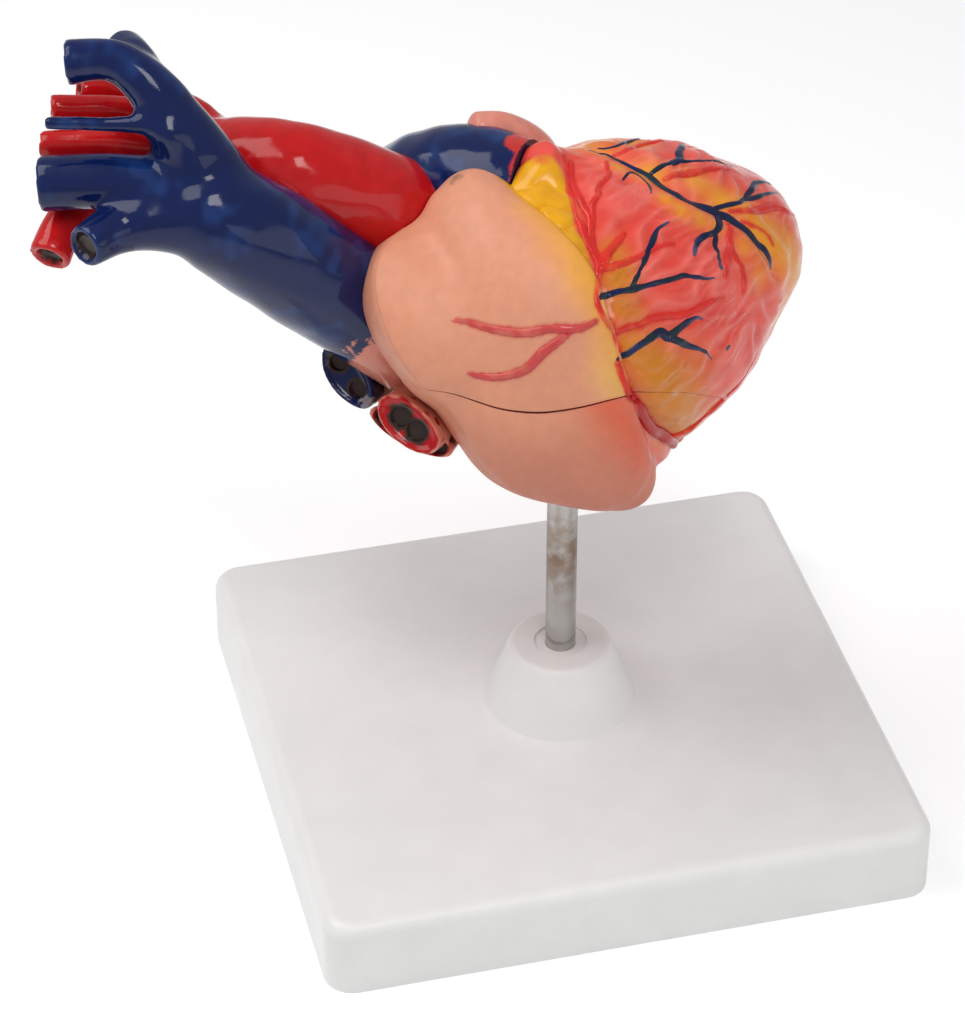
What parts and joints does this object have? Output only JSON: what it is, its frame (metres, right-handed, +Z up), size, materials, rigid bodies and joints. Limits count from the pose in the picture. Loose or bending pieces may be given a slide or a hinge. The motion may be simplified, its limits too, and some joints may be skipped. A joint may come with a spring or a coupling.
{
  "type": "heart anatomy model",
  "caption": "Human heart anatomy model: hollow painted casting with a lift-off front wall, open chambers and great vessels, on a rod in a collar on a white slab.",
  "frame": {"origin": "centre of the base slab's underside boss, on the rod axis, at table level", "axes": "+X along the slab's front edge towards the heart's tip, +Y to the back of the slab, +Z up along the rod"},
  "size_m": [0.1963, 0.1499, 0.2076],
  "materials": {
    "white_plastic": "satin moulded",
    "screw_steel": "zinc plated",
    "rod_steel": "bare nickel plated, light tarnish",
    "socket_steel": "turned",
    "artery_red": "gloss paint on PVC",
    "vein_blue": "gloss paint on PVC",
    "vein_red": "gloss paint on PVC",
    "atrium_pink": "satin paint on PVC",
    "heart_wall": "gloss paint on PVC",
    "muscle_inside": "satin paint on PVC",
    "valve_cream": "satin paint on PVC",
    "coronary_red": "gloss paint on PVC",
    "cardiac_vein_blue": "gloss paint on PVC",
    "magnet_nickel": "nickel plated"
  },
  "bodies": {
    "stand": {"base_slab": "white_plastic", "stand_collar": "white_plastic", "collar_screws": "screw_steel"},
    "rod": {"support_rod": "rod_steel"},
    "heart": {"rear_wall": "heart_wall", "septum": "muscle_inside", "rod_socket": "socket_steel", "aorta": "artery_red", "pulmonary_trunk": "vein_blue", "superior_vena_cava": "vein_blue", "left_brachiocephalic_vein": "vein_blue", "left_subclavian_vein": "vein_blue", "right_subclavian_vein": "vein_blue", "thyroid_vein": "vein_blue", "brachiocephalic_artery": "artery_red", "right_carotid_artery": "artery_red", "right_subclavian_artery": "artery_red", "left_carotid_artery": "artery_red", "left_subclavian_artery": "artery_red", "right_pulmonary_artery": "vein_blue", "right_pulmonary_veins": "vein_red", "left_pulmonary_veins": "vein_red", "inferior_vena_cava": "vein_blue", "left_auricle": "atrium_pink", "tricuspid_valve": "valve_cream", "mitral_valve": "valve_cream", "aortic_valve": "valve_cream", "pulmonary_valve": "valve_cream", "left_papillary_muscles": "muscle_inside", "right_papillary_muscles": "muscle_inside", "left_chordae": "valve_cream", "right_chordae": "valve_cream", "rear_coronary_arteries": "coronary_red", "rear_cardiac_veins": "cardiac_vein_blue", "rear_magnets": "magnet_nickel"},
    "front_wall": {"front_shell": "heart_wall", "front_coronary_arteries": "coronary_red", "front_cardiac_veins": "cardiac_vein_blue", "front_magnets": "magnet_nickel"}
  },
  "joints": [
    {"name": "rod_swivel", "type": "hinge", "parent": "stand", "child": "rod", "pos_m": [0, 0, 0.03], "axis": [0, 0, 1], "continuous": true},
    {"name": "heart_lift", "type": "slide", "parent": "rod", "child": "heart", "axis": [0, 0, 1], "range_m": [0, 0.03]},
    {"name": "front_wall_lift", "type": "slide", "parent": "heart", "child": "front_wall", "axis": [0.0873, 0.102, 0.9909], "range_m": [0, 0.06]}
  ]
}
